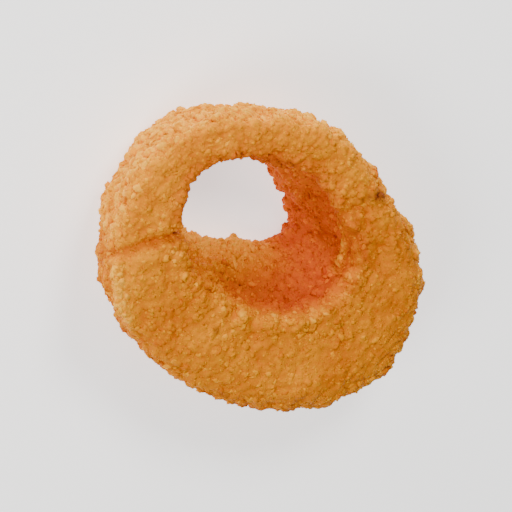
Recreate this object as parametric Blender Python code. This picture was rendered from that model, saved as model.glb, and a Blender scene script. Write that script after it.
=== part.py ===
"""A thick breaded onion ring, lying flat with its open, shown side up.

Metres, +Z up. The origin is on the surface it lies on, under the middle of its outline.
The ring is one solid: a torus whose section and radii are remapped to the measured band,
with its lip, its hollow, its overlapped strip end and the larger clumps of its breading.
"""
import bpy
import numpy as np

MM = 0.001

# How finely the torus is divided, round the ring and round its section
RING_STEPS = 112
SECTION_STEPS = 40
TORUS_RADIUS = 0.030
TORUS_THICKNESS = 0.010

# Outer radius from the middle of the hole, every 30 degrees counterclockwise from +X, in mm
OUTER_RADII = (36.4, 38.9, 43.7, 45.1, 37.0, 27.1, 24.8, 23.9, 25.1, 29.2, 32.0, 34.7)
# Thickness of the wall, its outward lean from bottom to top, and the band's height,
# every 45 degrees counterclockwise from +X, in mm
WALL_WIDTHS = (21.3, 26.9, 26.9, 16.9, 12.4, 10.9, 11.2, 16.4)
OUTWARD_LEAN = (6.0, 8.2, 9.6, 8.4, 7.2, 6.0, 5.2, 5.0)
BAND_HEIGHTS = (23.0, 23.6, 23.8, 23.4, 23.0, 22.6, 22.4, 22.7)
# How far the hole's wall comes inward at its foot, every 30 degrees, in mm
FOOT_REACH = (7.0, 9.5, 10.5, 8.5, 4.0, 1.0, 0.0, 0.0, 0.0, 0.0, 0.5, 3.0)
FOOT_CURVE = 1.6
# 2 would be an ellipse, and more is a squarer section: on top outside, at the lip and underneath
TOP_SQUARENESS = 2.7
LIP_SQUARENESS = 7.0
UNDER_SQUARENESS = 2.3
# From the middle of the outline to the middle of the hole, in mm
HOLE_MIDDLE = (-5.25, -8.64)
# How far the ring's own weight presses its lowest crumbs flat, in mm
REST_LEVEL = 1.0

# Places round the ring are turns in degrees, counterclockwise from +X.
# Places round the section are swings in degrees: 0 outermost, 90 on top, 180 innermost.
LIP_TURNS = (25.0, 175.0)
LIP_SWING = 129.0
LIP_REACH = 6.5
LIP_RISE = 1.5
SCALLOP_TURNS = 17.0
HOLLOW_SWING = 156.0
HOLLOW_REACH = 15.0
HOLLOW_DEPTH = 3.8
OVERLAP_TURN = 321.0
OVERLAP_END = 30.0
OVERLAP_STEP = 1.4
OVERLAP_CREASE = 1.5
RIDGE_TURNS = (324.0, 351.0)
RIDGE_SWING = 55.0
RIDGE_REACH = 6.5
RIDGE_RISE = 1.9
# Single lumps and pits: turn, swing, reach round the ring and round the section, rise in mm
LUMPS = (
    (297.0, 150.0, 9.0, 18.0, 1.5),
    (120.0, 106.0, 6.0, 11.0, -1.5),
    (236.0, 30.0, 5.0, 14.0, 1.1),
    (197.0, 25.0, 5.0, 14.0, 1.0),
    (128.0, 12.0, 5.0, 14.0, 1.1),
    (60.0, 70.0, 9.0, 15.0, 0.8),
    (20.0, 95.0, 10.0, 16.0, 0.6),
    (157.0, 30.0, 4.5, 14.0, 1.0),
    (141.0, 35.0, 3.5, 14.0, -1.5),
    (334.0, 25.0, 4.5, 14.0, 0.9),
    (24.0, 40.0, 5.0, 14.0, 0.8),
    (298.0, 20.0, 4.5, 14.0, 0.9),
    (256.0, 30.0, 5.0, 14.0, -1.0),
    (308.0, 15.0, 4.5, 14.0, -0.9),
    (98.0, 55.0, 5.0, 14.0, -0.6),
    (131.0, 25.0, 3.0, 12.0, 1.1),
    (112.0, 25.0, 2.5, 12.0, 1.7),
    (121.0, 25.0, 3.0, 12.0, -0.6),
    (312.0, 140.0, 3.5, 9.0, 0.9),
)

# Breading: size of its features and how far they rise and sink, in mm
SWELL_SIZE = 15.0
SWELL_RISE = 0.9
CLUMP_SIZE = 6.0
CLUMP_RISE = 0.8
KNOB_SIZE = 4.4
KNOB_RISE = 1.3
# How much calmer the breading is on the broad upper face, from 0 to 1
FACE_CALM = 0.55

CRUST_COLOUR = (0.72, 0.30, 0.055, 1.0)


def around(values, turn):
    """A smooth closed curve through evenly spaced values, read at each turn."""
    spectrum = np.fft.rfft(np.asarray(values, float)) / len(values)
    total = np.full(np.shape(turn), spectrum[0].real)
    for order in range(1, len(spectrum)):
        share = 1.0 if 2 * order == len(values) else 2.0
        wave = spectrum[order].real * np.cos(order * turn) - spectrum[order].imag * np.sin(order * turn)
        total = total + share * wave
    return total


def apart(angle, place):
    """Signed difference in degrees, wrapped to half a turn."""
    return (np.degrees(angle) - place + 180.0) % 360.0 - 180.0


def bell(offset, reach):
    """1 in the middle, fading smoothly to 0 past the reach."""
    return np.exp(-(offset / reach) ** 2)


def stretch(angle, start, end, fade):
    """1 from start to end, counterclockwise in degrees, with soft ends."""
    half = 0.5 * ((end - start) % 360.0)
    outside = np.abs(apart(angle, start + half)) - half
    return 1.0 / (1.0 + np.exp(np.clip(outside / fade, -40.0, 40.0)))


def lattice_number(cell, salt):
    """A repeatable number from 0 to 1 for each lattice cell."""
    mixed = np.sin(cell @ np.array([127.1, 311.7, 74.7]) + salt * 19.19) * 43758.5453
    return mixed - np.floor(mixed)


def swelling(points, size, salt):
    """Smooth noise from about -1 to 1, with features of the given size."""
    scaled = points / size
    base = np.floor(scaled)
    part = scaled - base
    part = part * part * (3.0 - 2.0 * part)
    total = np.zeros(len(points))
    for corner in np.ndindex(2, 2, 2):
        pick = np.array(corner)
        weight = np.prod(np.where(pick == 1, part, 1.0 - part), axis=1)
        total += weight * lattice_number(base + pick, salt)
    return 2.0 * total - 1.0


def knobs(points, size, salt):
    """Rounded bumps, one in each lattice cell, from 0 to 1."""
    scaled = points / size
    base = np.floor(scaled)
    highest = np.zeros(len(points))
    for corner in np.ndindex(3, 3, 3):
        cell = base + np.array(corner) - 1.0
        jitter = np.stack([lattice_number(cell, salt + axis) for axis in range(3)], axis=1)
        middle = cell + 0.15 + 0.7 * jitter
        radius = 0.62 * (0.65 + 0.7 * lattice_number(cell, salt + 3))
        distance = np.linalg.norm(scaled - middle, axis=1) / radius
        bump = np.sqrt(np.clip(1.0 - distance ** 2, 0.0, 1.0))
        highest = np.maximum(highest, bump * (0.55 + 0.45 * lattice_number(cell, salt + 4)))
    return highest


def section_point(turn, swing):
    """Radius and height on the smooth band, in mm."""
    wall = around(WALL_WIDTHS, turn)
    across = np.cos(swing)
    up = np.sin(swing)
    square = np.where(up > 0.0, np.where(across < 0.0, LIP_SQUARENESS, TOP_SQUARENESS), UNDER_SQUARENESS)
    rounding = (np.abs(across) ** square + np.abs(up) ** square) ** (-1.0 / square)
    across = across * rounding
    up = up * rounding
    middle = around(OUTER_RADII, turn) - 0.5 * wall
    foot = np.clip(-across, 0.0, 1.0) ** 1.5 * (0.5 - 0.5 * up) ** FOOT_CURVE
    radius = middle + 0.5 * wall * across + 0.5 * around(OUTWARD_LEAN, turn) * up
    radius = radius - around(FOOT_REACH, turn) * foot
    return radius, 0.5 * around(BAND_HEIGHTS, turn) * (1.0 + up)


def section_normal(turn, swing):
    """The outward direction across the band, as its radial and upward parts."""
    step = 0.001
    radius, height = section_point(turn, swing - step)
    next_radius, next_height = section_point(turn, swing + step)
    along_radius, along_height = next_radius - radius, next_height - height
    length = np.hypot(along_radius, along_height)
    return along_height / length, -along_radius / length


def lip_and_hollow(turn, swing):
    """The scalloped lip along the hole's near edge, and the hollow wall below it."""
    lip = stretch(turn, *LIP_TURNS, 8.0)
    scallops = 0.75 + 0.45 * np.cos(np.radians(apart(turn, 0.0) * 360.0 / SCALLOP_TURNS))
    rise = LIP_RISE * scallops * bell(apart(swing, LIP_SWING), LIP_REACH)
    return lip * (rise - HOLLOW_DEPTH * bell(apart(swing, HOLLOW_SWING), HOLLOW_REACH))


def strip_overlap(turn, swing):
    """The strip's end laid over the ring: a step, the crease before it and its raised outer edge."""
    slant = 4.0 * np.cos(swing)
    face = stretch(swing, 35.0, 160.0, 8.0)
    step = stretch(turn - np.radians(slant), OVERLAP_TURN, OVERLAP_END, 1.6)
    fading = 0.5 + 0.5 * np.cos(np.radians(np.clip((apart(turn, OVERLAP_TURN)) * 180.0 / 69.0, 0.0, 180.0)))
    crease = bell(apart(turn, OVERLAP_TURN - 1.5) - slant, 2.6)
    ridge = stretch(turn, *RIDGE_TURNS, 2.0) * bell(apart(swing, RIDGE_SWING), RIDGE_REACH)
    return face * (OVERLAP_STEP * step * fading - OVERLAP_CREASE * crease) + RIDGE_RISE * ridge


def lumps(turn, swing):
    """Single lumps and pits on the crust."""
    rise = np.zeros(np.shape(turn))
    for at_turn, at_swing, turn_reach, swing_reach, height in LUMPS:
        rise += height * bell(apart(turn, at_turn), turn_reach) * bell(apart(swing, at_swing), swing_reach)
    return rise


def ring_points(turn, swing):
    """Points of the breaded ring, in mm from the middle of the outline."""
    radius, height = section_point(turn, swing)
    out_radius, out_height = section_normal(turn, swing)
    smooth = np.stack([radius * np.cos(turn), radius * np.sin(turn), height], axis=-1)
    rise = lip_and_hollow(turn, swing) + strip_overlap(turn, swing) + lumps(turn, swing)
    rise += SWELL_RISE * swelling(smooth, SWELL_SIZE, 1.0)
    roughness = 1.0 - FACE_CALM * stretch(swing, 50.0, 122.0, 7.0)
    rise += roughness * CLUMP_RISE * swelling(smooth, CLUMP_SIZE, 2.0)
    rise += roughness * KNOB_RISE * (knobs(smooth, KNOB_SIZE, 10.0) - 0.5)
    radius = radius + out_radius * rise
    height = height + out_height * rise
    height = np.maximum(height - REST_LEVEL, 0.0)
    x = radius * np.cos(turn) + HOLE_MIDDLE[0]
    y = radius * np.sin(turn) + HOLE_MIDDLE[1]
    return np.stack([x, y, height], axis=-1)


def crust_material():
    material = bpy.data.materials.new("fried_crust")
    material.use_nodes = True
    shader = material.node_tree.nodes["Principled BSDF"]
    shader.inputs["Base Color"].default_value = CRUST_COLOUR
    shader.inputs["Roughness"].default_value = 0.6
    shader.inputs["Metallic"].default_value = 0.0
    return material


def make_ring(collection):
    bpy.ops.mesh.primitive_torus_add(
        major_segments=RING_STEPS,
        minor_segments=SECTION_STEPS,
        major_radius=TORUS_RADIUS,
        minor_radius=TORUS_THICKNESS,
    )
    ring = bpy.context.object
    ring.name = "onion_ring"
    ring.data.name = "onion_ring"
    points = np.empty(len(ring.data.vertices) * 3)
    ring.data.vertices.foreach_get("co", points)
    x, y, z = points.reshape(-1, 3).T
    turn = np.arctan2(y, x)
    swing = np.arctan2(z, np.hypot(x, y) - TORUS_RADIUS)
    ring.data.vertices.foreach_set("co", (ring_points(turn, swing) * MM).ravel())
    ring.data.update()
    ring.data.shade_smooth()
    ring.data.materials.append(crust_material())
    for holder in list(ring.users_collection):
        holder.objects.unlink(ring)
    collection.objects.link(ring)
    return ring


def main():
    for thing in list(bpy.data.objects):
        bpy.data.objects.remove(thing, do_unlink=True)
    collection = bpy.data.collections.new("onion_ring")
    bpy.context.scene.collection.children.link(collection)
    make_ring(collection)


main()
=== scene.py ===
"""A thick breaded onion ring, fried golden: its crust, its crumbs, and a plain studio round it."""
import math
from collections import namedtuple

import bpy
import numpy as np
from mathutils import Matrix, Vector


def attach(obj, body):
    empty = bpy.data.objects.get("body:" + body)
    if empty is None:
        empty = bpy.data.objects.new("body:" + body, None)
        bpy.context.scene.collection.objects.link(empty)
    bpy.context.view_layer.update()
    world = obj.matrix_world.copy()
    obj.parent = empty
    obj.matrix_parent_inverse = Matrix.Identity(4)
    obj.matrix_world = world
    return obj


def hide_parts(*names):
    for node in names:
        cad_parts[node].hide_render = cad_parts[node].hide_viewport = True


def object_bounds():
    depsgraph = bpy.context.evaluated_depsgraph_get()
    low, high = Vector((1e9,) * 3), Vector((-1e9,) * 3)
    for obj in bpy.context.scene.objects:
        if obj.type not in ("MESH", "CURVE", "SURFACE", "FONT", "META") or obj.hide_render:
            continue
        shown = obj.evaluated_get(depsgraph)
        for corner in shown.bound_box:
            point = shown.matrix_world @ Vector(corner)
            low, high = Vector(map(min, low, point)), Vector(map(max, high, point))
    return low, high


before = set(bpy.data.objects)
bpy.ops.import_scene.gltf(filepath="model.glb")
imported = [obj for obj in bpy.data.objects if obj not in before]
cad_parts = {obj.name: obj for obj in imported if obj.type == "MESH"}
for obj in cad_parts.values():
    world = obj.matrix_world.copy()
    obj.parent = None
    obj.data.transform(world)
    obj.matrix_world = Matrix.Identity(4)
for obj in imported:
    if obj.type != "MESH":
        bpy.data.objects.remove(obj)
cad_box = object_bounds()

MM = 0.001
SEED = 41

# The crust's mesh: steps round the ring and round its section
RING_STEPS = 464
SECTION_STEPS = 214

# The band, as the solid has it: outer radius every 30 degrees counterclockwise from +X, in mm
OUTER_RADII = (36.4, 38.9, 43.7, 45.1, 37.0, 27.1, 24.8, 23.9, 25.1, 29.2, 32.0, 34.7)
# Wall, outward lean and height every 45 degrees counterclockwise from +X, in mm
WALL_WIDTHS = (21.3, 26.9, 26.9, 16.9, 12.4, 10.9, 11.2, 16.4)
OUTWARD_LEAN = (6.0, 8.2, 9.6, 8.4, 7.2, 6.0, 5.2, 5.0)
BAND_HEIGHTS = (23.0, 23.6, 23.8, 23.4, 23.0, 22.6, 22.4, 22.7)
# How far the hole's wall comes inward at its foot, every 30 degrees, in mm
FOOT_REACH = (7.0, 9.5, 10.5, 8.5, 4.0, 1.0, 0.0, 0.0, 0.0, 0.0, 0.5, 3.0)
FOOT_CURVE = 1.6
FOOT_ROUNDING = 1.5
TOP_SQUARENESS = 2.7
LIP_SQUARENESS = 7.0
UNDER_SQUARENESS = 2.3
HOLE_MIDDLE = (-5.25, -8.64)
REST_LEVEL = 1.0

# Turns go round the ring and swings round its section, in degrees: 0 outermost, 90 on top, 180 innermost.
# TURNS and SWINGS hold where a stretch starts, where it ends and how soft its ends are
LIP_TURNS = (25.0, 175.0, 8.0)
LIP_SWING = 129.0
LIP_REACH = 6.5
LIP_RISE = 1.5
SCALLOP_PITCH = 17.0
SCALLOP_MEAN = 0.75
SCALLOP_DEPTH = 0.45
HOLLOW_SWING = 156.0
HOLLOW_REACH = 15.0
HOLLOW_DEPTH = 3.8
OVERLAP_TURN = 321.0
OVERLAP_END = 30.0
OVERLAP_STEP = 1.4
OVERLAP_CREASE = 1.5
OVERLAP_SLANT = 4.0
OVERLAP_SWINGS = (35.0, 160.0, 8.0)
OVERLAP_FADE = 1.6
CREASE_TURN = OVERLAP_TURN - 1.5
CREASE_REACH = 2.6
RIDGE_TURNS = (324.0, 351.0, 2.0)
RIDGE_SWING = 55.0
RIDGE_REACH = 6.5
RIDGE_RISE = 1.9
# Lumps and pits, in the solid too: turn, swing, reach along each, in degrees, and height in mm
LUMPS = (
    (297.0, 150.0, 9.0, 18.0, 1.5),
    (120.0, 106.0, 6.0, 11.0, -1.5),
    (236.0, 30.0, 5.0, 14.0, 1.1),
    (197.0, 25.0, 5.0, 14.0, 1.0),
    (128.0, 12.0, 5.0, 14.0, 1.1),
    (60.0, 70.0, 9.0, 15.0, 0.8),
    (20.0, 95.0, 10.0, 16.0, 0.6),
    (157.0, 30.0, 4.5, 14.0, 1.0),
    (141.0, 35.0, 3.5, 14.0, -1.5),
    (334.0, 25.0, 4.5, 14.0, 0.9),
    (24.0, 40.0, 5.0, 14.0, 0.8),
    (298.0, 20.0, 4.5, 14.0, 0.9),
    (256.0, 30.0, 5.0, 14.0, -1.0),
    (308.0, 15.0, 4.5, 14.0, -0.9),
    (98.0, 55.0, 5.0, 14.0, -0.6),
    (131.0, 25.0, 3.0, 12.0, 1.1),
    (112.0, 25.0, 2.5, 12.0, 1.7),
    (121.0, 25.0, 3.0, 12.0, -0.6),
    (312.0, 140.0, 3.5, 9.0, 0.9),
)
# The same again for finer relief, only here: the lip's inner end, the pits outside it and the outer rim
FINE_LUMPS = (
    (107.0, 150.0, 5.0, 5.0, 1.5),
    (117.0, 149.0, 5.0, 5.0, 1.7),
    (127.0, 147.0, 5.0, 5.0, 1.2),
    (85.0, 25.0, 3.5, 14.0, 1.0),
    (110.0, 25.0, 4.0, 14.0, 0.9),
    (122.0, 25.0, 4.0, 14.0, 1.3),
    (131.0, 25.0, 3.0, 12.0, 1.5),
    (157.0, 25.0, 4.0, 14.0, 0.5),
    (119.0, 127.0, 4.0, 5.0, -0.7),
    (129.0, 123.0, 4.0, 5.0, -0.8),
)

# Breading that the solid has too, in mm
SWELL_SIZE = 15.0
SWELL_RISE = 0.9
CLUMP_SIZE = 6.0
CLUMP_RISE = 0.8
KNOB_SIZE = 4.4
KNOB_RISE = 1.3
# Finer breading, only here, in mm
CRUMB_SIZE = 2.3
CRUMB_RISE = 0.8
GRAIN_SIZE = 1.25
GRAIN_RISE = 0.45
FINE_SINK = 0.45
# How much calmer the breading is on the broad face, a little more so than in the solid
FACE_CALM = 0.65
# How far the crust may stand above the solid's top, and the crumbs on it, in mm
CRUST_ABOVE = 0.6
CRUMBS_ABOVE = 0.5

# Parts of the crust with a look of their own, where a LINE is a swing and how far it reaches
FACE_SWINGS = (50.0, 122.0, 7.0)
WALL_SWINGS = (60.0, 250.0, 6.0)
LEDGE_TURNS = (310.0, 80.0, 9.0)
LEDGE_SWINGS = (178.0, 270.0, 7.0)
FOOT_RIM_TURNS = (320.0, 62.0, 8.0)
FOOT_RIM_LINE = (207.0, 10.0)
LIP_END_TURNS = (103.0, 131.0, 3.0)
LIP_END_LINE = (149.0, 5.5)
PIT_TURNS = (113.0, 133.0, 3.0)
PIT_LINE = (125.0, 5.0)
# Where the painted highlights run along the hole's lip, the overlap's ridge and the ring's rims, partly paler
# crumbs
LIP_HIGHLIGHT_TURNS = (35.0, 100.0, 8.0)
LIP_HIGHLIGHT_LINE = (LIP_SWING + 3.0, 4.0)
RIDGE_HIGHLIGHT_LINE = (RIDGE_SWING, 9.0)
RIM_HIGHLIGHT_TURNS = (165.0, 318.0, 8.0)
RIM_HIGHLIGHT_SWINGS = (-65.0, 52.0, 8.0)
RIGHT_RIM_TURNS = (78.0, 165.0, 6.0)
RIGHT_RIM_SWINGS = (-20.0, 60.0, 8.0)
# Where the low near side gets its painted shade
LOW_SIDE_TURNS = (320.0, 100.0, 5.0)
LOW_SIDE_SWINGS = (-80.0, 34.0, 8.0)

# Spots toasted darker than the rest: place in mm, reach in mm and how dark, from 0 to 1
TOASTED = (
    ((-28.2, 5.3, 21.9), 1.5, 1.0),
    ((-26.6, 4.0, 22.2), 0.9, 0.8),
    ((17.6, 0.3, 22.6), 0.8, 0.7),
    ((26.6, 13.9, 20.5), 0.9, 0.7),
    ((19.4, 28.8, 19.5), 0.9, 0.6),
    ((-25.0, 3.0, 22.2), 0.8, 0.6),
)

# Painted light and shade round the ring: how much paler the crust is than its middle tone on the sides that
# catch the light, and deeper orange on the shaded side, every 45 degrees counterclockwise from +X
SIDE_LIGHT_TONE = (0.00, 0.02, -0.04, -0.08, 0.08, 0.05, 0.08, 0.06)
# How much paler the ledge is, as painted light, and how much less pale the low near side and the crease are,
# as painted shade
LEDGE_LIGHT = 0.36
LOW_SIDE_SHADE = 0.2
CREASE_SHADE = 0.25
CREASE_SHADE_REACH = 2.2
# The hole's redder crust, painted shade on its inner wall that is partly a deeper fry, every 45 degrees too:
# the swing where it begins, how red it grows, and how gradually, in degrees
HOLE_SHADE_START = (148.0, 140.0, 136.0, 136.0, 127.0, 127.0, 126.0, 132.0)
HOLE_SHADE_DEPTH = (0.25, 0.80, 1.00, 0.88, 0.75, 0.85, 0.75, 0.55)
HOLE_SHADE_FADE = (6.0, 3.0, 4.5, 9.0, 7.0, 7.0, 7.0, 7.0)
# How far that red gives way on the lit parts of the hole, and how red the face's pits are, as painted shade
# in them
LEDGE_CLEAR = 0.95
FOOT_RIM_CLEAR = 0.9
LIP_END_CLEAR = 0.95
PIT_SHADE = 0.75
# Painted highlight, partly paler crumbs: how much paler the crust is where an edge counts as 1, as the
# overlap's does, and what the others count
EDGE_HIGHLIGHT = 0.31
LIP_HIGHLIGHT = 0.6
RIM_HIGHLIGHT = 0.8
RIGHT_RIM_HIGHLIGHT = 0.45
FOOT_RIM_HIGHLIGHT = 0.8
LIP_END_HIGHLIGHT = 0.8
# The crust's colours by tone, from its crevices to its crumbs' tips: the low end is painted shade in the
# crevices and the high end painted highlight on the tips, both partly the breading's own colour
FRIED_TONES = (
    (0.00, (0.48, 0.075, 0.001, 1.0)),
    (0.25, (0.63, 0.155, 0.001, 1.0)),
    (0.45, (0.72, 0.225, 0.001, 1.0)),
    (0.68, (0.86, 0.315, 0.002, 1.0)),
    (1.00, (1.00, 0.440, 0.030, 1.0)),
)
# The hole's redder crust, painted shade that is partly a deeper fry, at its darkest and its lightest, and the
# toasted spots
HOLE_SHADE_DARKEST = (0.45, 0.040, 0.010, 1.0)
HOLE_SHADE_LIGHTEST = (0.78, 0.140, 0.008, 1.0)
TOASTED_BROWN = (0.14, 0.018, 0.009, 1.0)

# Crumbs, whose radii are in mm: how far sunk, as a share of the radius, how flat, how much paler than the
# crust, which on the rim crumbs adds to the painted rim highlight, and how much they vary in tone
CrumbKind = namedtuple("CrumbKind", "name count subdivisions radii sunk flatness paler variety")
CRUMB_KINDS = (
    CrumbKind("rim_crumbs", 620, 2, (0.55, 1.0), 0.25, 0.8, 0.14, 0.9),
    CrumbKind("coarse_crumbs", 2300, 2, (0.5, 0.95), 0.38, 0.75, 0.00, 0.85),
    CrumbKind("middling_crumbs", 9400, 1, (0.36, 0.62), 0.4, 0.75, 0.00, 0.65),
    CrumbKind("crumb_flakes", 9600, 1, (0.3, 0.55), 0.25, 0.45, 0.02, 0.5),
    CrumbKind("fine_crumbs", 8600, 1, (0.2, 0.34), 0.25, 0.8, 0.02, 0.3),
)
# A crumb's least and greatest length, width and thickness, as shares of its radius
CRUMB_LEAST = (0.95, 0.7, 0.8)
CRUMB_MOST = (1.5, 1.1, 1.25)
# How rough a crumb is, and how near and far its points may be, as shares of its radius
CRUMB_ROUGHNESS = 0.2
CRUMB_REACHES = (0.55, 1.5)
# A crumb's tone at its foot, how much lighter its tip is, a painted highlight that is partly the crumb's own
# paler colour, and the limits of its own difference
CRUMB_TONE = 0.30
CRUMB_TIP_HIGHLIGHT = 0.45
CRUMB_OWN_TONES = (-0.9, 1.3)
# On the broad face crumbs are smaller, deeper and more alike, and along the pale edges they vary more
FACE_SMALLER = 0.15
FACE_DEEPER = 0.1
FACE_ALIKE = 0.35
EDGE_VARIED = 0.5
# How many fewer common crumbs lie in the hole and how many more along the pale edges, and how pale an edge
# has to be for rim crumbs
HOLE_FEWER = 0.5
EDGE_MORE = 0.8
RIM_CRUMBS_FROM = 0.2

# Seen as in the photograph: degrees between the view and the ring's axis, and the picture's turn
VIEW_TILT = 28.0
VIEW_ROLL = 225.0
LENS = 600.0
PICTURE_WIDTH = 0.112
AIM = (0.0, 0.0, 0.0115)

# The studio, in metres
FLOOR_SIZE = 4.0
FLOOR_GAP = 0.0001
FLOOR_GREY = 0.93
FLOOR_GLOW = 1.1
ROOM_LIGHT = 0.22
LIGHT_DISTANCE = 0.5
# Lights: name, direction that it comes from, width, power and colour
LIGHTS = (
    ("overhead", (-0.68, -0.5, 0.9), 0.16, 1.75, (1.0, 0.98, 0.95)),
    ("low_key", (-0.4, -0.9, 0.15), 0.12, 1.1, (1.0, 0.99, 0.97)),
    ("side_fill", (0.75, -0.4, 0.8), 0.25, 1.8, (1.0, 0.97, 0.93)),
)


def around(values, turn):
    """A smooth closed curve through evenly spaced values, read at each turn."""
    spectrum = np.fft.rfft(np.asarray(values, float)) / len(values)
    total = np.full(np.shape(turn), spectrum[0].real)
    for order in range(1, len(spectrum)):
        share = 1.0 if 2 * order == len(values) else 2.0
        wave = spectrum[order].real * np.cos(order * turn) - spectrum[order].imag * np.sin(order * turn)
        total = total + share * wave
    return total


def apart(angle, place):
    """Signed difference in degrees, wrapped to half a turn."""
    return (np.degrees(angle) - place + 180.0) % 360.0 - 180.0


def bell(offset, reach):
    """1 in the middle, fading smoothly to 0 past the reach."""
    return np.exp(-(offset / reach) ** 2)


def near(angle, place, reach):
    """1 at a place, fading smoothly to 0 past the reach, in degrees."""
    return bell(apart(angle, place), reach)


def stretch(angle, start, end, fade):
    """1 from start to end, counterclockwise in degrees, with soft ends."""
    half = 0.5 * ((end - start) % 360.0)
    outside = np.abs(apart(angle, start + half)) - half
    return 1.0 / (1.0 + np.exp(np.clip(outside / fade, -40.0, 40.0)))


def lattice_number(cell, salt):
    """A repeatable number from 0 to 1 for each lattice cell."""
    mixed = np.sin(cell @ np.array([127.1, 311.7, 74.7]) + salt * 19.19) * 43758.5453
    return mixed - np.floor(mixed)


def swelling(points, size, salt):
    """Smooth noise from about -1 to 1, with features of the given size."""
    scaled = points / size
    base = np.floor(scaled)
    part = scaled - base
    part = part * part * (3.0 - 2.0 * part)
    total = np.zeros(len(points))
    for corner in np.ndindex(2, 2, 2):
        pick = np.array(corner)
        weight = np.prod(np.where(pick == 1, part, 1.0 - part), axis=1)
        total += weight * lattice_number(base + pick, salt)
    return 2.0 * total - 1.0


def knobs(points, size, salt):
    """Rounded bumps, one in each lattice cell, from 0 to 1."""
    scaled = points / size
    base = np.floor(scaled)
    highest = np.zeros(len(points))
    for corner in np.ndindex(3, 3, 3):
        cell = base + np.array(corner) - 1.0
        jitter = np.stack([lattice_number(cell, salt + axis) for axis in range(3)], axis=1)
        middle = cell + 0.15 + 0.7 * jitter
        radius = 0.62 * (0.65 + 0.7 * lattice_number(cell, salt + 3))
        distance = np.linalg.norm(scaled - middle, axis=1) / radius
        bump = np.sqrt(np.clip(1.0 - distance ** 2, 0.0, 1.0))
        highest = np.maximum(highest, bump * (0.55 + 0.45 * lattice_number(cell, salt + 4)))
    return highest


def section_point(turn, swing):
    """Radius and height on the smooth band, in mm."""
    wall = around(WALL_WIDTHS, turn)
    across = np.cos(swing)
    up = np.sin(swing)
    square = np.where(up > 0.0, np.where(across < 0.0, LIP_SQUARENESS, TOP_SQUARENESS), UNDER_SQUARENESS)
    rounding = (np.abs(across) ** square + np.abs(up) ** square) ** (-1.0 / square)
    across = across * rounding
    up = up * rounding
    middle = around(OUTER_RADII, turn) - 0.5 * wall
    foot = np.clip(-across, 0.0, 1.0) ** FOOT_ROUNDING * (0.5 - 0.5 * up) ** FOOT_CURVE
    radius = middle + 0.5 * wall * across + 0.5 * around(OUTWARD_LEAN, turn) * up
    radius = radius - around(FOOT_REACH, turn) * foot
    return radius, 0.5 * around(BAND_HEIGHTS, turn) * (1.0 + up)


def section_normal(turn, swing):
    """The outward direction across the band, as its radial and upward parts."""
    step = 0.001
    radius, height = section_point(turn, swing - step)
    next_radius, next_height = section_point(turn, swing + step)
    along_radius, along_height = next_radius - radius, next_height - height
    length = np.hypot(along_radius, along_height)
    return along_height / length, -along_radius / length


def lip_and_hollow(turn, swing):
    """The scalloped lip along the hole's near edge, and the hollow wall below it."""
    lip = stretch(turn, *LIP_TURNS)
    scallops = SCALLOP_MEAN + SCALLOP_DEPTH * np.cos(np.radians(apart(turn, 0.0) * 360.0 / SCALLOP_PITCH))
    rise = LIP_RISE * scallops * near(swing, LIP_SWING, LIP_REACH)
    return lip * (rise - HOLLOW_DEPTH * near(swing, HOLLOW_SWING, HOLLOW_REACH))


def strip_overlap(turn, swing):
    """The strip's end laid over the ring: a step, the crease before it and its raised outer edge."""
    slant = OVERLAP_SLANT * np.cos(swing)
    top = stretch(swing, *OVERLAP_SWINGS)
    step = stretch(turn - np.radians(slant), OVERLAP_TURN, OVERLAP_END, OVERLAP_FADE)
    past_start = apart(turn, OVERLAP_TURN) / ((OVERLAP_END - OVERLAP_TURN) % 360.0)
    fading = 0.5 + 0.5 * np.cos(math.pi * np.clip(past_start, 0.0, 1.0))
    crease = bell(apart(turn, CREASE_TURN) - slant, CREASE_REACH)
    ridge = stretch(turn, *RIDGE_TURNS) * near(swing, RIDGE_SWING, RIDGE_REACH)
    return top * (OVERLAP_STEP * step * fading - OVERLAP_CREASE * crease) + RIDGE_RISE * ridge


def lumps(turn, swing):
    """Single lumps and pits on the crust."""
    rise = np.zeros(np.shape(turn))
    for at_turn, at_swing, turn_reach, swing_reach, height in LUMPS + FINE_LUMPS:
        rise += height * near(turn, at_turn, turn_reach) * near(swing, at_swing, swing_reach)
    return rise


def crust_shape(turn, swing):
    """Points of the crust in mm from the middle of its outline, and how high each stands in the breading."""
    radius, height = section_point(turn, swing)
    out_radius, out_height = section_normal(turn, swing)
    smooth = np.stack([radius * np.cos(turn), radius * np.sin(turn), height], axis=-1)
    rise = lip_and_hollow(turn, swing) + strip_overlap(turn, swing) + lumps(turn, swing)
    roughness = 1.0 - FACE_CALM * face(swing)
    knob = knobs(smooth, KNOB_SIZE, 10.0)
    crumb = knobs(smooth, CRUMB_SIZE, 30.0)
    grain = knobs(smooth, GRAIN_SIZE, 50.0)
    rise += SWELL_RISE * swelling(smooth, SWELL_SIZE, 1.0)
    rise += roughness * (CLUMP_RISE * swelling(smooth, CLUMP_SIZE, 2.0) + KNOB_RISE * (knob - 0.5))
    rise += roughness * (CRUMB_RISE * crumb - FINE_SINK) + GRAIN_RISE * grain
    radius = radius + out_radius * rise
    height = np.maximum(height + out_height * rise - REST_LEVEL, 0.0)
    x = radius * np.cos(turn) + HOLE_MIDDLE[0]
    y = radius * np.sin(turn) + HOLE_MIDDLE[1]
    standing = 0.25 * knob + 0.45 * crumb + 0.3 * grain
    return np.stack([x, y, height], axis=-1), standing


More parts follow.
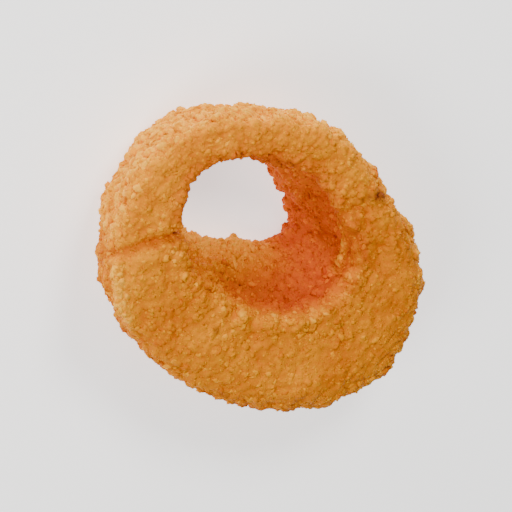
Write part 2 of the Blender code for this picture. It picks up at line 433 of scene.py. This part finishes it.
def paint_hole_shade(turn, swing):
    """How red the crust is, painted shade that is partly a deeper fry: up to 1 on the hole's inner wall, less
    on its lit foot and in the face's pits.
    """
    past_start = apart(swing, 180.0) + 180.0 - around(HOLE_SHADE_START, turn)
    fade = around(HOLE_SHADE_FADE, turn)
    wall = around(HOLE_SHADE_DEPTH, turn) / (1.0 + np.exp(np.clip(-past_start / fade, -40.0, 40.0)))
    wall = wall * stretch(swing, *WALL_SWINGS)
    clear_foot = np.maximum(LEDGE_CLEAR * ledge(turn, swing), FOOT_RIM_CLEAR * foot_rim(turn, swing))
    clear = np.maximum(clear_foot, LIP_END_CLEAR * lip_end(turn, swing))
    pits = stretch(turn, *PIT_TURNS) * near(swing, *PIT_LINE)
    return np.maximum(wall * (1.0 - clear), PIT_SHADE * pits)


def ledge(turn, swing):
    """1 on the sloping foot of the hole's near wall, 0 on the rest."""
    return stretch(turn, *LEDGE_TURNS) * stretch(swing, *LEDGE_SWINGS)


def lip_end(turn, swing):
    """1 along the lip's inner end, 0 on the rest."""
    return stretch(turn, *LIP_END_TURNS) * near(swing, *LIP_END_LINE)


def foot_rim(turn, swing):
    """1 along the crumbly rim where the sloping foot of the hole's wall ends, 0 on the rest."""
    return stretch(turn, *FOOT_RIM_TURNS) * near(swing, *FOOT_RIM_LINE)


def face(swing):
    """1 on the broad upper face, 0 on the rest."""
    return stretch(swing, *FACE_SWINGS)


def edge_highlights(turn, swing):
    """Painted highlight, partly paler crumbs: how much paler the crust is on the ring's rim, the hole's edges
    and the overlap's raised edge.
    """
    lip = stretch(turn, *LIP_HIGHLIGHT_TURNS) * near(swing, *LIP_HIGHLIGHT_LINE)
    ridge = stretch(turn, *RIDGE_TURNS) * near(swing, *RIDGE_HIGHLIGHT_LINE)
    rim = stretch(turn, *RIM_HIGHLIGHT_TURNS) * stretch(swing, *RIM_HIGHLIGHT_SWINGS)
    right_rim = stretch(turn, *RIGHT_RIM_TURNS) * stretch(swing, *RIGHT_RIM_SWINGS)
    rims = np.maximum(RIM_HIGHLIGHT * rim, RIGHT_RIM_HIGHLIGHT * right_rim)
    lips = np.maximum(LIP_HIGHLIGHT * lip, LIP_END_HIGHLIGHT * lip_end(turn, swing))
    return np.maximum.reduce([rims, lips, ridge, FOOT_RIM_HIGHLIGHT * foot_rim(turn, swing)])


def lit_and_shaded_tone(turn, swing):
    """Painted light and shade: how much paler the crust is than its middle tone on its lit sides and ledge;
    less, as painted shade, low on the near side and in the crease.
    """
    low_side = stretch(turn, *LOW_SIDE_TURNS) * stretch(swing, *LOW_SIDE_SWINGS)
    crease = bell(apart(turn, CREASE_TURN) - OVERLAP_SLANT * np.cos(swing), CREASE_SHADE_REACH)
    crease = crease * stretch(swing, *OVERLAP_SWINGS)
    lit_tone = around(SIDE_LIGHT_TONE, turn) + LEDGE_LIGHT * ledge(turn, swing)
    return lit_tone - LOW_SIDE_SHADE * low_side - CREASE_SHADE * crease


def toast(points):
    """How much darker each point in mm is fried than the rest, from 0 to 1."""
    dark = np.zeros(len(points))
    for place, reach, depth in TOASTED:
        dark = np.maximum(dark, depth * bell(np.linalg.norm(points - np.array(place), axis=1), reach))
    return dark


class Value:
    """A node's output, on which Python's arithmetic adds Math nodes."""

    def __init__(self, finish, socket):
        self.finish = finish
        self.socket = socket

    def _math(self, operation, first, second):
        return self.finish.node("ShaderNodeMath", {"operation": operation}, {0: first, 1: second})

    def __add__(self, other):
        return self._math("ADD", self, other)

    def __radd__(self, other):
        return self._math("ADD", other, self)

    def __sub__(self, other):
        return self._math("SUBTRACT", self, other)

    def __rsub__(self, other):
        return self._math("SUBTRACT", other, self)

    def __mul__(self, other):
        return self._math("MULTIPLY", self, other)

    def __rmul__(self, other):
        return self._math("MULTIPLY", other, self)


class Finish:
    """One material: its Principled BSDF, and the one method that adds any other node."""

    def __init__(self, name):
        self.material = bpy.data.materials.new(name)
        self.material.use_nodes = True
        self.tree = self.material.node_tree
        self.shader = self.tree.nodes["Principled BSDF"]

    def feed(self, socket, value):
        if isinstance(value, Value):
            self.tree.links.new(value.socket, socket)
        else:
            socket.default_value = value

    def node(self, kind, settings=None, inputs=None, output=0):
        """Adds a node: its settings first, then the values or links of its sockets."""
        made = self.tree.nodes.new(kind)
        for name, setting in (settings or {}).items():
            if name == "stops":
                ramp = made.color_ramp.elements
                while len(ramp) < len(setting):
                    ramp.new(0.5)
                for stop, (place, colour) in zip(ramp, setting):
                    stop.position = place
                    stop.color = colour
            else:
                setattr(made, name, setting)
        for name, value in (inputs or {}).items():
            self.feed(made.inputs[name], value)
        return Value(self, made.outputs[output])

    def noise(self, place, size_mm, detail=2.0, roughness=0.5):
        """Smooth noise from 0 to 1 with features of about the given size."""
        scale = 1.0 / (size_mm * MM)
        sockets = {"Vector": place, "Scale": scale, "Detail": detail, "Roughness": roughness}
        return self.node("ShaderNodeTexNoise", {}, sockets)

    def mix(self, factor, first, second):
        """One colour over another."""
        settings = {"data_type": "RGBA", "blend_type": "MIX", "clamp_factor": True}
        return self.node("ShaderNodeMix", settings, {0: factor, 6: first, 7: second}, output=2)

    def shine(self, **sockets):
        """Constants of the shader, by their socket names with underscores for spaces."""
        for name, value in sockets.items():
            self.feed(self.shader.inputs[name.replace("_", " ")], value)


def fried_crust():
    """Golden fried breading: deep orange in its crevices and paler on its crumbs' tips, painted shade and
    highlight that are partly its own colour, with painted shade in the hole and painted highlights along its
    edges.
    """
    crust = Finish("fried_crust")
    place = crust.node("ShaderNodeTexCoord", output=3)
    standing, sheltered, paleness, toasted = (
        crust.node("ShaderNodeAttribute", {"attribute_name": name}, output=2)
        for name in ("standing", "sheltered", "paleness", "toasted")
    )
    patches = crust.noise(place, size_mm=9.0)
    specks = crust.noise(place, size_mm=1.6, detail=3.0, roughness=0.6)
    mottle = 0.45 * (patches - 0.5) + (0.35 + 0.8 * paleness) * (specks - 0.5)
    # Painted shade and light: darker where the breading stands low, paler on its tips, edges, lit sides and
    # ledge, deeper on the low side and in the crease
    tone = 0.29 + 0.28 * standing + mottle + paleness
    colour = crust.node("ShaderNodeValToRGB", {"stops": FRIED_TONES}, {"Fac": tone})
    fine = crust.noise(place, size_mm=0.5, detail=3.0, roughness=0.65)
    bump = crust.node("ShaderNodeBump", {}, {"Strength": 0.8, "Distance": 0.00018, "Height": fine})
    # The hole's painted shade, partly a deeper fry, in redder tones mixed over the crust
    red_tone = 0.6 * specks + 0.4 * standing
    shaded_red = crust.mix(red_tone, HOLE_SHADE_DARKEST, HOLE_SHADE_LIGHTEST)
    colour = crust.mix(0.95 * sheltered, colour, shaded_red)
    colour = crust.mix(toasted, colour, TOASTED_BROWN)
    crust.feed(crust.shader.inputs["Base Color"], colour)
    crust.feed(crust.shader.inputs["Normal"], bump)
    crust.feed(crust.shader.inputs["Roughness"], 0.75 - 0.2 * specks)
    crust.shine(Metallic=0.0, Specular_IOR_Level=0.15, Specular_Tint=(1.0, 0.7, 0.3, 1.0))
    crust.shine(Subsurface_Weight=0.12, Subsurface_Radius=(1.0, 0.35, 0.08), Subsurface_Scale=0.0012)
    return crust.material


def keep_numbers(mesh, name, numbers):
    """Keeps one number at each point of a mesh, for its material to read."""
    layer = mesh.attributes.new(name, "FLOAT", "POINT")
    layer.data.foreach_set("value", np.ascontiguousarray(numbers, dtype=np.float32))


def fit_piece(piece, material):
    """Gives a piece its material, and makes it part of the ring."""
    piece.data.materials.clear()
    piece.data.materials.append(material)
    piece.data.shade_smooth()
    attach(piece, "root")
    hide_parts("onion_ring")


def add_piece(name, points, faces):
    """A new object of the scene from its points, in metres, and its faces."""
    mesh = bpy.data.meshes.new(name)
    mesh.from_pydata(points, [], faces)
    mesh.update()
    piece = bpy.data.objects.new(name, mesh)
    bpy.context.scene.collection.objects.link(piece)
    return piece


def make_crust():
    """The whole breaded ring as one mesh, a grid that closes on itself both ways."""
    ring, section = np.meshgrid(np.arange(RING_STEPS), np.arange(SECTION_STEPS), indexing="ij")
    turn = (ring * (2.0 * math.pi / RING_STEPS)).ravel()
    swing = (section * (2.0 * math.pi / SECTION_STEPS)).ravel()
    shaped, standing = crust_shape(turn, swing)
    solid_top = cad_box[1][2] / MM
    above = np.maximum(shaped[:, 2] - solid_top, 0.0)
    shaped[:, 2] -= above * above / (above + CRUST_ABOVE)
    next_ring, next_section = (ring + 1) % RING_STEPS, (section + 1) % SECTION_STEPS
    corners = ((ring, section), (next_ring, section), (next_ring, next_section), (ring, next_section))
    quads = np.stack([(across * SECTION_STEPS + along).ravel() for across, along in corners], axis=1)
    crust = add_piece("crust", shaped * MM, quads)
    mesh = crust.data
    keep_numbers(mesh, "standing", standing)
    # Painted shade in the hole and the face's pits, partly a deeper fry
    keep_numbers(mesh, "sheltered", paint_hole_shade(turn, swing))
    keep_numbers(mesh, "toasted", toast(shaped))
    # Painted highlight along the edges, partly paler crumbs, and painted light and shade on the sides, ledge,
    # low side and crease
    edge = edge_highlights(turn, swing)
    keep_numbers(mesh, "edge", edge)
    keep_numbers(mesh, "paleness", EDGE_HIGHLIGHT * edge + lit_and_shaded_tone(turn, swing))
    keep_numbers(mesh, "face", face(swing))
    return crust


def numbers_of(mesh, name):
    """The numbers kept under a name at a mesh's points."""
    numbers = np.empty(len(mesh.vertices), dtype=np.float32)
    mesh.attributes[name].data.foreach_get("value", numbers)
    return numbers


def crumb_form(subdivisions):
    """One small lump of crumb: an icosphere's points and triangles."""
    bpy.ops.mesh.primitive_ico_sphere_add(subdivisions=subdivisions, radius=1.0)
    ball = bpy.context.object
    points = np.array([v.co for v in ball.data.vertices])
    faces = np.array([f.vertices for f in ball.data.polygons])
    bpy.data.objects.remove(ball, do_unlink=True)
    return points, faces


def everywhere(kept):
    """How thickly the common crumbs lie: less in the hole, more along the pale edges."""
    return 1.0 - HOLE_FEWER * kept["sheltered"] + EDGE_MORE * kept["edge"]


def along_edges(kept):
    """How thickly the rim's crumbs lie: only along the pale edges."""
    return np.clip(kept["edge"] - RIM_CRUMBS_FROM, 0.0, 1.0)


def within_quads(values, quads, across, along):
    """A point's values in each quad, blended from those at its four corners."""
    a, b, c, d = (values[quads[:, corner]] for corner in range(4))
    return (1 - across) * ((1 - along) * a + along * d) + across * ((1 - along) * b + along * c)


def surface_spots(crust, count, rng, thickness):
    """Random spots on the crust: where they are, which way is out and what the crust keeps there."""
    mesh = crust.data
    corners = np.empty(len(mesh.vertices) * 3)
    mesh.vertices.foreach_get("co", corners)
    corners = corners.reshape(-1, 3)
    normals = np.empty(len(mesh.vertices) * 3)
    mesh.vertices.foreach_get("normal", normals)
    normals = normals.reshape(-1, 3)
    quads = np.array([f.vertices for f in mesh.polygons])
    first, second = corners[quads[:, 2]] - corners[quads[:, 0]], corners[quads[:, 3]] - corners[quads[:, 1]]
    area = np.linalg.norm(np.cross(first, second), axis=1)
    kept = {name: numbers_of(mesh, name)[quads[:, 0]] for name in ("sheltered", "edge", "paleness", "face")}
    weight = area * thickness(kept)
    chosen = rng.choice(len(quads), size=count, p=weight / weight.sum())
    across, along = rng.random(count)[:, None], rng.random(count)[:, None]
    spots = within_quads(corners, quads[chosen], across, along)
    outward = within_quads(normals, quads[chosen], across, along)
    outward /= np.linalg.norm(outward, axis=1, keepdims=True)
    return spots, outward, {name: numbers[chosen] for name, numbers in kept.items()}


def make_crumbs(kind, crust, thickness, rng):
    """Crumbs of one kind, scattered over the crust and partly sunk in it, as one mesh."""
    form, faces = crumb_form(kind.subdivisions)
    count = kind.count
    spots, outward, kept = surface_spots(crust, count, rng, thickness)
    size = rng.uniform(*kind.radii, count) * MM * (1.0 - FACE_SMALLER * kept["face"])
    sunk = kind.sunk + FACE_DEEPER * kept["face"]
    helper = rng.normal(size=(count, 3))
    side = np.cross(outward, helper)
    side /= np.linalg.norm(side, axis=1, keepdims=True)
    other = np.cross(outward, side)
    long, wide, thick = rng.uniform(CRUMB_LEAST, CRUMB_MOST, (count, 3)).T
    stretches = np.stack([long, wide, thick * kind.flatness], axis=1)
    rough = 1.0 + CRUMB_ROUGHNESS * rng.normal(size=(count, len(form)))
    local = form[None, :, :] * np.clip(rough, *CRUMB_REACHES)[:, :, None] * stretches[:, None, :]
    local *= size[:, None, None]
    world = (
        spots[:, None, :]
        - (sunk * size)[:, None, None] * outward[:, None, :]
        + local[:, :, 0:1] * side[:, None, :]
        + local[:, :, 1:2] * other[:, None, :]
        + local[:, :, 2:3] * outward[:, None, :]
    )
    excess = world[:, :, 2].max(axis=1) - (cad_box[1][2] + CRUMBS_ABOVE * MM)
    world[:, :, 2] -= np.maximum(excess, 0.0)[:, None]
    world[:, :, 2] = np.maximum(world[:, :, 2], 0.0)
    all_faces = (faces[None, :, :] + (np.arange(count) * len(form))[:, None, None]).reshape(-1, 3)
    crumbs = add_piece(kind.name, world.reshape(-1, 3), all_faces)
    # Each crumb paler towards its top: a painted highlight, partly the crumb's own colour
    lift = 0.5 + 0.5 * form[:, 2]
    contrast = 1.0 - FACE_ALIKE * kept["face"] + EDGE_VARIED * kept["edge"]
    own = np.clip(rng.normal(0.0, kind.variety, count), *CRUMB_OWN_TONES) * contrast
    standing = CRUMB_TONE + CRUMB_TIP_HIGHLIGHT * lift[None, :] + own[:, None]
    keep_numbers(crumbs.data, "standing", standing.ravel())
    keep_numbers(crumbs.data, "sheltered", np.repeat(kept["sheltered"], len(form)))
    keep_numbers(crumbs.data, "paleness", np.repeat(kept["paleness"] + kind.paler, len(form)))
    keep_numbers(crumbs.data, "toasted", np.repeat(toast(spots / MM), len(form)))
    return crumbs


def picture_axes():
    """The camera's right, up and back directions, as in the photograph."""
    tilt, roll = math.radians(VIEW_TILT), math.radians(VIEW_ROLL)
    back = Vector((0.0, -math.sin(tilt), math.cos(tilt)))
    level = Vector((1.0, 0.0, 0.0))
    steep = back.cross(level)
    right = math.cos(roll) * level - math.sin(roll) * steep
    up = math.sin(roll) * level + math.cos(roll) * steep
    return right, up, back


def make_camera():
    """A camera far back with a long lens, which shows the ring with little perspective."""
    right, up, back = picture_axes()
    data = bpy.data.cameras.new("camera")
    data.lens = LENS
    camera = bpy.data.objects.new("camera", data)
    bpy.context.scene.collection.objects.link(camera)
    distance = PICTURE_WIDTH * LENS / data.sensor_width
    turned = Matrix((right, up, back)).transposed()
    camera.matrix_world = Matrix.Translation(Vector(AIM) + back * distance) @ turned.to_4x4()
    bpy.context.scene.camera = camera


def make_light(name, direction, width, power, colour):
    """A soft round light that faces the ring, by the direction it comes from."""
    towards = Vector(direction).normalized()
    data = bpy.data.lights.new(name, "AREA")
    data.shape = "DISK"
    data.size = width
    data.energy = power
    data.color = colour
    light = bpy.data.objects.new(name, data)
    bpy.context.scene.collection.objects.link(light)
    light.location = Vector(AIM) + towards * LIGHT_DISTANCE
    light.rotation_mode = "QUATERNION"
    light.rotation_quaternion = towards.to_track_quat("Z", "Y")


def make_studio():
    """A pale floor that gives a little light of its own, even light all round, and the lights."""
    bpy.ops.mesh.primitive_plane_add(size=FLOOR_SIZE, location=(0.0, 0.0, -FLOOR_GAP))
    floor = bpy.context.object
    floor.name = "floor"
    paint = Finish("pale_floor")
    paint.shine(Base_Color=(FLOOR_GREY, FLOOR_GREY, FLOOR_GREY, 1.0), Roughness=0.7)
    paint.shine(Emission_Color=(1.0, 1.0, 1.0, 1.0), Emission_Strength=FLOOR_GLOW)
    floor.data.materials.append(paint.material)
    world = bpy.data.worlds.new("studio")
    bpy.context.scene.world = world
    world.use_nodes = True
    background = world.node_tree.nodes["Background"]
    background.inputs["Color"].default_value = (1.0, 1.0, 1.0, 1.0)
    background.inputs["Strength"].default_value = ROOM_LIGHT
    for light in LIGHTS:
        make_light(*light)


def main():
    """Builds the camera and the studio, then the crust and the crumbs on it."""
    rng = np.random.default_rng(SEED)
    make_camera()
    make_studio()
    crust = make_crust()
    finish = fried_crust()
    for kind in CRUMB_KINDS:
        thickness = along_edges if kind.name == "rim_crumbs" else everywhere
        fit_piece(make_crumbs(kind, crust, thickness, rng), finish)
    fit_piece(crust, finish)


main()
